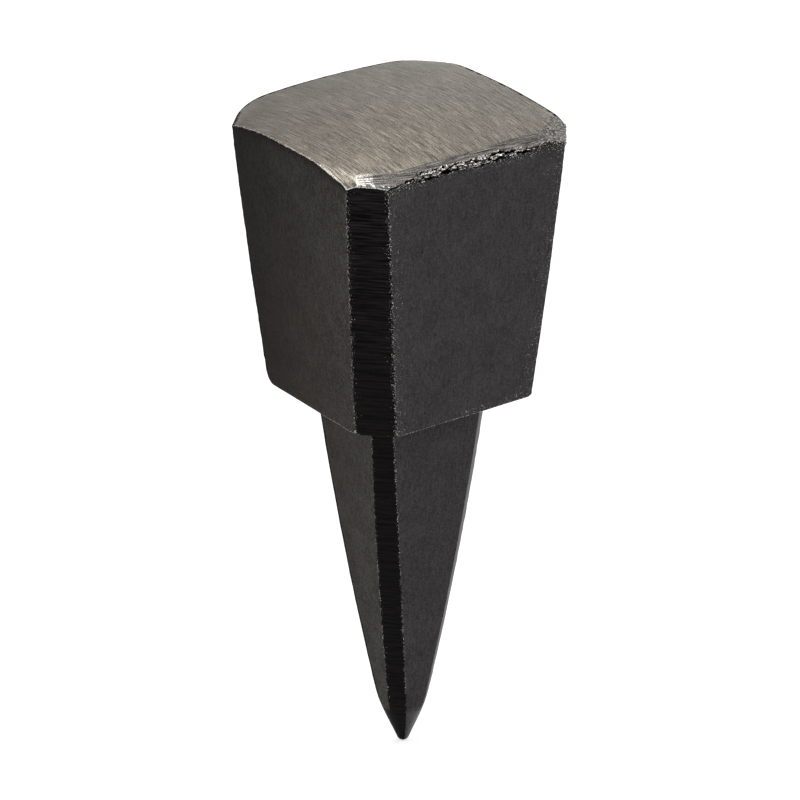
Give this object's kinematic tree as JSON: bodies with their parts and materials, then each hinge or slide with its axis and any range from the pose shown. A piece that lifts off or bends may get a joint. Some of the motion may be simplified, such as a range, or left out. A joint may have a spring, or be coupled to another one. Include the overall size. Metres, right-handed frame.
{
  "type": "scythe peening anvil",
  "caption": "Square-faced peening anvil: a tapered head with a crowned, ground working face above a four-sided tang that is driven into a stump.",
  "frame": {"origin": "centre of the flat shoulder under the head, where the tang starts and the head seats on the stump", "axes": "+Z along the tang's axis up to the working face; X and Y square to the flats of the head, with the edge that has the ground bevel facing -Y"},
  "size_m": [0.044, 0.0426, 0.1157],
  "materials": {
    "forged_steel": "satin black over a hammer-forged skin, with the working face ground to bright steel"
  },
  "bodies": {
    "root": {"anvil": "forged_steel"}
  },
  "joints": []
}
